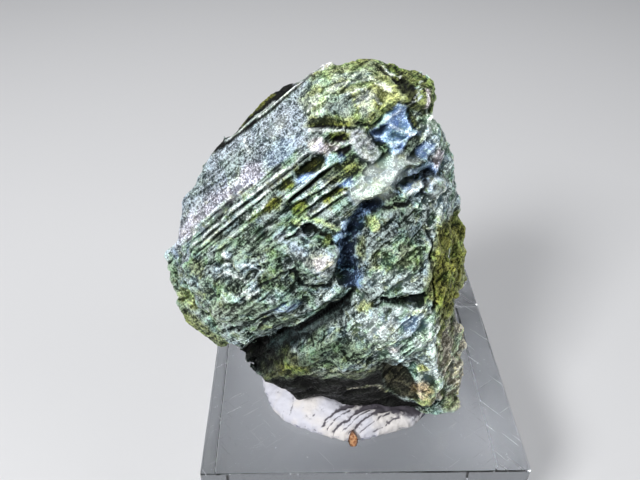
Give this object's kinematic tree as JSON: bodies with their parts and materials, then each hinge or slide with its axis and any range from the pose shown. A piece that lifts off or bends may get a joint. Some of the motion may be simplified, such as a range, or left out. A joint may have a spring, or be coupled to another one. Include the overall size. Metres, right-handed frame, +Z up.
{
  "type": "rough chrysoberyl specimen",
  "caption": "Rough green chrysoberyl with striated crystal ledges, held upright by a pad of white putty on a clear acrylic display block.",
  "frame": {"origin": "middle of the display block's underside", "axes": "+Z up through the stone, which is the longest extent; the stone's broken front looks towards -Y, +X to its right"},
  "size_m": [0.0353, 0.032, 0.0511],
  "materials": {
    "chrysoberyl": "broken, glittering",
    "mineral_putty": "matt",
    "clear_acrylic": "polished, lightly scratched",
    "rock_flake": "rough"
  },
  "bodies": {
    "root": {"stone": "chrysoberyl", "putty": "mineral_putty", "block": "clear_acrylic", "flake": "rock_flake"}
  },
  "joints": []
}
